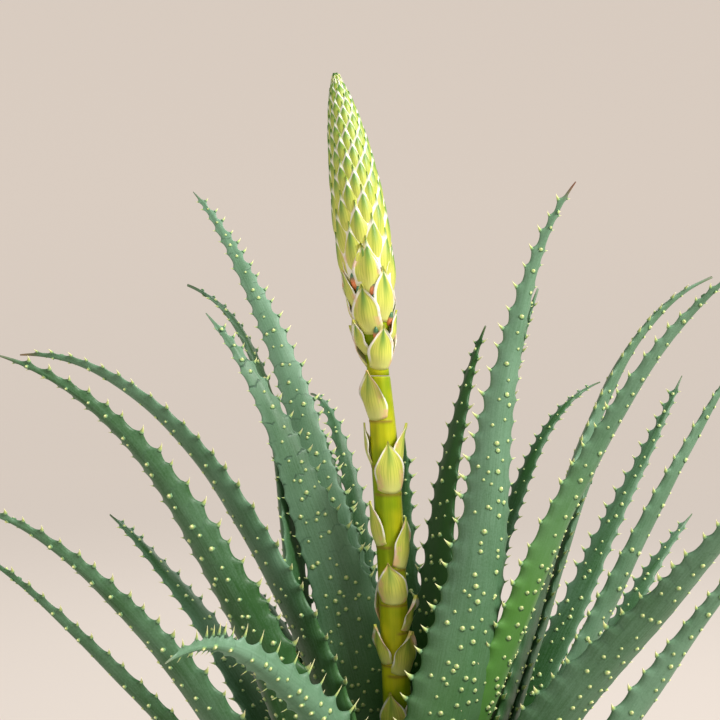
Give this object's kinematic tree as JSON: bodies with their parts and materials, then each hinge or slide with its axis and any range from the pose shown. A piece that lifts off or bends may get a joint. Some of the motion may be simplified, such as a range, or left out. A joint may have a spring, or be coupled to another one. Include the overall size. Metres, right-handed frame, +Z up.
{
  "type": "potted candelabra aloe",
  "caption": "A rosette of thick, arching, toothed grey-green succulent leaves on a short woody stem with one closed flower spike on a bracted stalk, planted in a round clay pot of soil.",
  "frame": {"origin": "centre of the pot's underside", "axes": "+Z up along the pot's axis. The plant's front, as pictured, looks along -Y, and seen from there the flower spike leans to the left, along -X."},
  "size_m": [0.3323, 0.311, 0.505],
  "materials": {
    "clay": "matt unglazed terracotta",
    "soil": "dark, rough, granular potting soil",
    "bark": "dry, grey-brown woody stem with old leaf scars",
    "leaf": "waxy grey-green leaf skin with a soft bloom",
    "flower_stalk": "smooth olive-green stalk with pale papery bracts",
    "flower_spike": "satin pale yellow-green bracts with translucent margins"
  },
  "bodies": {
    "root": {"pot": "clay", "soil": "soil", "stem": "bark", "flower_stalk": "flower_stalk", "flower_spike": "flower_spike", "leaf_01": "leaf", "leaf_02": "leaf", "leaf_03": "leaf", "leaf_04": "leaf", "leaf_05": "leaf", "leaf_06": "leaf", "leaf_07": "leaf", "leaf_08": "leaf", "leaf_09": "leaf", "leaf_10": "leaf", "leaf_11": "leaf", "leaf_12": "leaf", "leaf_13": "leaf", "leaf_14": "leaf", "leaf_15": "leaf", "leaf_16": "leaf", "leaf_17": "leaf", "leaf_18": "leaf", "leaf_19": "leaf", "leaf_20": "leaf", "leaf_21": "leaf", "leaf_22": "leaf", "leaf_23": "leaf", "leaf_24": "leaf", "leaf_25": "leaf", "leaf_26": "leaf", "leaf_27": "leaf", "leaf_28": "leaf", "leaf_29": "leaf", "leaf_30": "leaf", "leaf_31": "leaf", "leaf_32": "leaf", "leaf_33": "leaf", "leaf_34": "leaf"}
  },
  "joints": []
}
